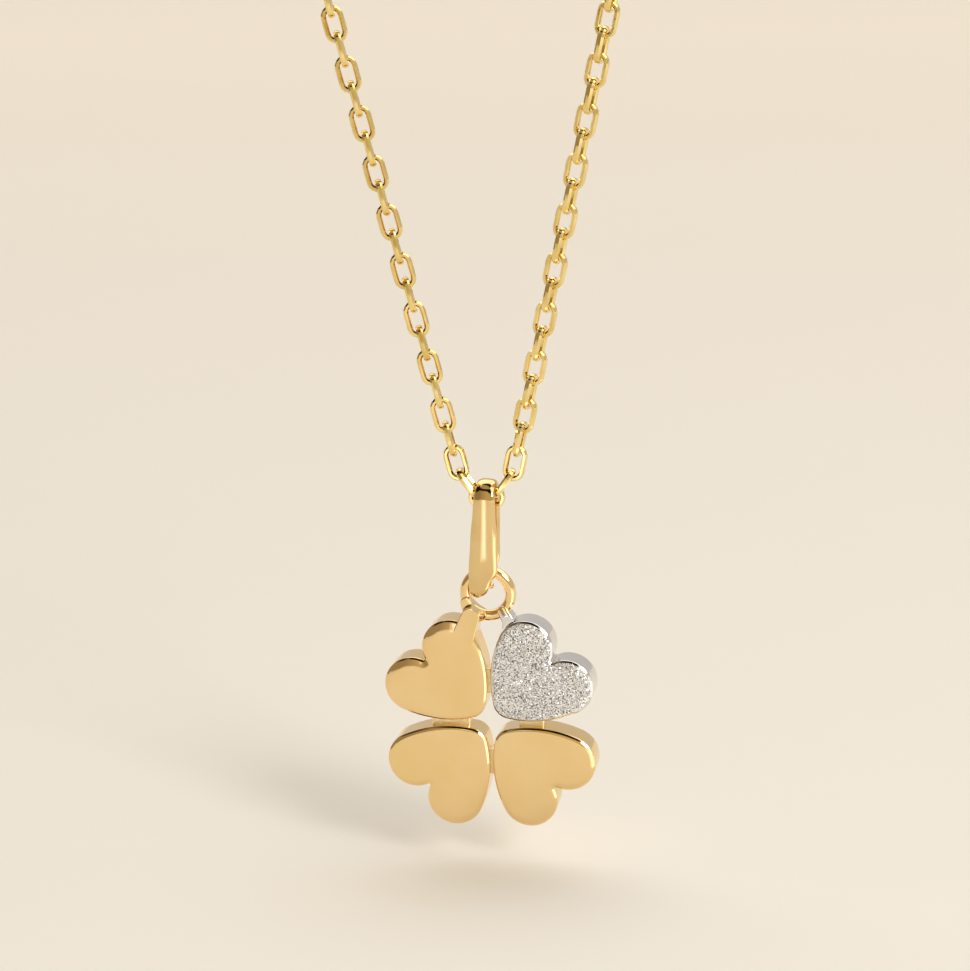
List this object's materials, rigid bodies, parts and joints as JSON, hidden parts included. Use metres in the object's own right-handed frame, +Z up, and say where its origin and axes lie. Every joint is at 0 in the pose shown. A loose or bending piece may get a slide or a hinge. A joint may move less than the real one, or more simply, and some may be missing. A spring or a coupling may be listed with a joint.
{
  "type": "four leaf clover pendant on its necklace chain",
  "caption": "Clover pendant of soldered heart leaves, polished yellow with one sparkling white leaf, on a round loop, a long tapered bail and a fine cable chain with a closed clasp.",
  "frame": {"origin": "middle of the clasp at the top of the necklace, where the loop hangs", "axes": "+Z up along the necklace's hang, the clover's front faces -Y, +X to the right seen from the front"},
  "size_m": [0.069, 0.002, 0.1961],
  "materials": {
    "polished_gold": "mirror polished yellow gold",
    "sparkling_white": "white gold, diamond dusted face and polished rim",
    "chain_gold": "diamond cut yellow gold"
  },
  "bodies": {
    "necklace": {"chain_front": "chain_gold", "chain_back": "chain_gold", "clasp": "chain_gold"},
    "bail": {"bail": "polished_gold"},
    "pendant": {"clover": "polished_gold", "white_leaf": "sparkling_white"}
  },
  "joints": [
    {"name": "bail_swing", "type": "hinge", "parent": "necklace", "child": "bail", "pos_m": [0, 0, -0.17609], "axis": [1, 0, 0], "range_deg": [-60, 60]},
    {"name": "pendant_swing", "type": "hinge", "parent": "bail", "child": "pendant", "pos_m": [-0.00062, 0, -0.18098], "axis": [0, 1, 0], "range_deg": [-35, 35]}
  ]
}
